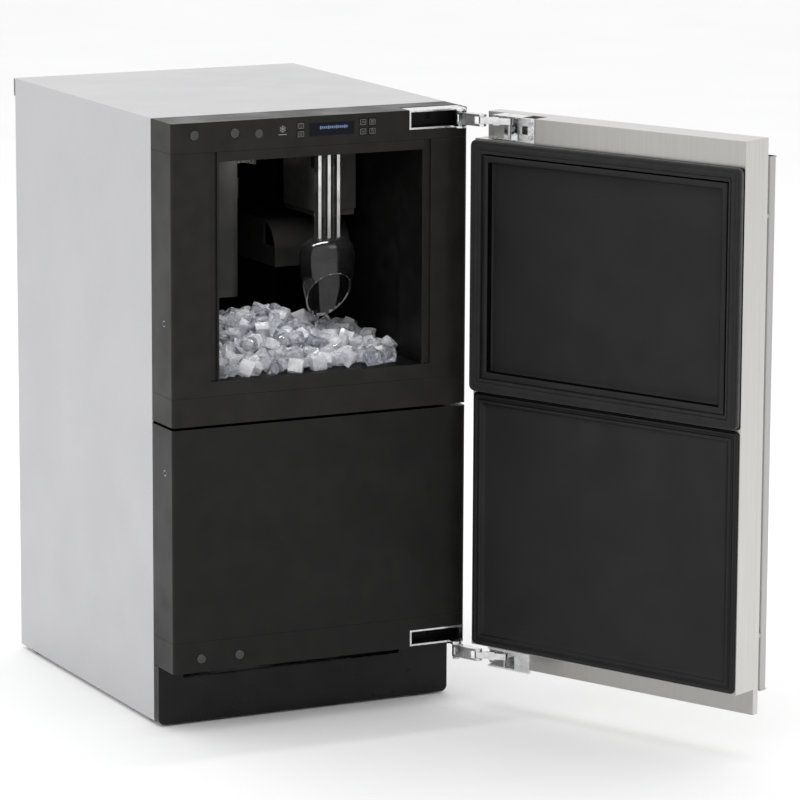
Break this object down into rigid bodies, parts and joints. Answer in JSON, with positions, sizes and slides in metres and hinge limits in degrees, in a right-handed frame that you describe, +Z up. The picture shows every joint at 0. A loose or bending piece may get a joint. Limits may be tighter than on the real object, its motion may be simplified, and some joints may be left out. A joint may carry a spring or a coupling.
{
  "type": "ice maker",
  "caption": "Undercounter ice maker with a right-hinged panel door standing open on link hinges, an ice bin with scoop, and a sealed machine compartment below.",
  "frame": {"origin": "on the floor, at the centre of the four levelling legs", "axes": "+X to the right facing the front, +Y to the back, +Z up"},
  "size_m": [0.7243, 1.0375, 0.864],
  "materials": {
    "black_moulding": "satin black",
    "black_steel": "black enamel",
    "case_paint": "light grey metallic paint",
    "chrome": "bright plated",
    "circuit": "circuit board",
    "clear_plastic": "clear polycarbonate",
    "copper": "copper",
    "display_glass": "gloss",
    "foam": "expanded foam",
    "galvanised": "galvanised sheet",
    "gasket_rubber": "soft black",
    "grey_plastic": "moulded",
    "ice": "clear ice",
    "liner_black": "satin black",
    "nickel": "nickel plated",
    "stainless": "brushed",
    "white_plastic": "moulded",
    "zinc": "zinc plated"
  },
  "bodies": {
    "cabinet": {"back_panel": "galvanised", "base_pan": "galvanised", "bin_foam": "foam", "bin_liner": "liner_black", "circulation_pump": "grey_plastic", "compressor": "black_steel", "condenser": "copper", "control_board": "circuit", "control_strip": "black_moulding", "cutter_grid": "nickel", "display_window": "display_glass", "drain_pump": "white_plastic", "electrical_box": "galvanised", "evaporator_plate": "nickel", "fan_motor": "black_steel", "fan_shroud": "grey_plastic", "frame_screws": "zinc", "front_frame": "black_moulding", "hinge_frame_lower": "chrome", "hinge_frame_upper": "chrome", "hinge_pins_frame": "zinc", "hole_plugs": "black_moulding", "ice_deflector": "liner_black", "ice_heap": "ice", "ice_maker_cover": "grey_plastic", "lower_access_panel": "black_moulding", "lower_strip": "black_moulding", "mullion_rail": "black_moulding", "outer_case": "case_paint", "power_inlet": "grey_plastic", "refrigerant_tubes": "copper", "reservoir_cover": "grey_plastic", "scoop_holder": "liner_black", "toe_kick": "black_steel", "water_trough": "white_plastic", "water_valve": "white_plastic"},
    "hinge_arm_pair": {"hinge_arms": "chrome"},
    "hinge_bar_pair": {"hinge_bars": "chrome"},
    "door": {"door_wrap": "stainless", "door_foam": "foam", "door_panel": "stainless", "door_liner": "liner_black", "door_gasket": "gasket_rubber", "handle_bar": "stainless", "handle_standoffs": "stainless", "hinge_cups": "chrome", "hinge_pins_cup": "zinc", "cup_screws": "zinc"},
    "scoop": {"scoop": "clear_plastic"},
    "fan_blade": {"fan_blade": "grey_plastic"},
    "key_clean": {"key_clean": "black_moulding"},
    "key_down": {"key_down": "black_moulding"},
    "key_light": {"key_light": "black_moulding"},
    "key_menu": {"key_menu": "black_moulding"},
    "key_power": {"key_power": "black_moulding"},
    "key_up": {"key_up": "black_moulding"},
    "leg_front_left": {"leg_front_left": "zinc"},
    "leg_front_right": {"leg_front_right": "zinc"},
    "leg_rear_left": {"leg_rear_left": "zinc"},
    "leg_rear_right": {"leg_rear_right": "zinc"}
  },
  "joints": [
    {"name": "hinge_arm_pivot", "type": "hinge", "parent": "cabinet", "child": "hinge_arm_pair", "pos_m": [0.212, -0.321, 0.85], "axis": [0, 0, 1], "range_deg": [-138.5, 0.1]},
    {"name": "hinge_bar_pivot", "type": "hinge", "parent": "hinge_arm_pair", "child": "hinge_bar_pair", "pos_m": [0.22833, -0.35752, 0.85], "axis": [0, 0, 1], "range_deg": [-0.1, 101.8]},
    {"name": "door_hinge", "type": "hinge", "parent": "hinge_bar_pair", "child": "door", "pos_m": [0.2571, -0.3853, 0.85], "axis": [0, 0, 1], "range_deg": [-77.67, 0]},
    {"name": "scoop_lift_out", "type": "slide", "parent": "cabinet", "child": "scoop", "axis": [0, -1, 0], "range_m": [0, 0.3]},
    {"name": "fan_spin", "type": "hinge", "parent": "cabinet", "child": "fan_blade", "pos_m": [-0.045, -0.16, 0.185], "axis": [0, 1, 0], "continuous": true},
    {"name": "key_clean_press", "type": "slide", "parent": "cabinet", "child": "key_clean", "axis": [0, 1, 0], "range_m": [0, 0.0008], "stiffness_N_per_m": 800},
    {"name": "key_down_press", "type": "slide", "parent": "cabinet", "child": "key_down", "axis": [0, 1, 0], "range_m": [0, 0.0008], "stiffness_N_per_m": 800},
    {"name": "key_light_press", "type": "slide", "parent": "cabinet", "child": "key_light", "axis": [0, 1, 0], "range_m": [0, 0.0008], "stiffness_N_per_m": 800},
    {"name": "key_menu_press", "type": "slide", "parent": "cabinet", "child": "key_menu", "axis": [0, 1, 0], "range_m": [0, 0.0008], "stiffness_N_per_m": 800},
    {"name": "key_power_press", "type": "slide", "parent": "cabinet", "child": "key_power", "axis": [0, 1, 0], "range_m": [0, 0.0008], "stiffness_N_per_m": 800},
    {"name": "key_up_press", "type": "slide", "parent": "cabinet", "child": "key_up", "axis": [0, 1, 0], "range_m": [0, 0.0008], "stiffness_N_per_m": 800},
    {"name": "leg_front_left_screw", "type": "slide", "parent": "cabinet", "child": "leg_front_left", "axis": [0, 0, -1], "range_m": [0, 0.02]},
    {"name": "leg_front_right_screw", "type": "slide", "parent": "cabinet", "child": "leg_front_right", "axis": [0, 0, -1], "range_m": [0, 0.02]},
    {"name": "leg_rear_left_screw", "type": "slide", "parent": "cabinet", "child": "leg_rear_left", "axis": [0, 0, -1], "range_m": [0, 0.02]},
    {"name": "leg_rear_right_screw", "type": "slide", "parent": "cabinet", "child": "leg_rear_right", "axis": [0, 0, -1], "range_m": [0, 0.02]}
  ],
  "couplings": [
    {"joint": "hinge_arm_pivot", "follows": "door_hinge", "ratio": 1.7819},
    {"joint": "hinge_bar_pivot", "follows": "door_hinge", "ratio": -1.3092}
  ]
}
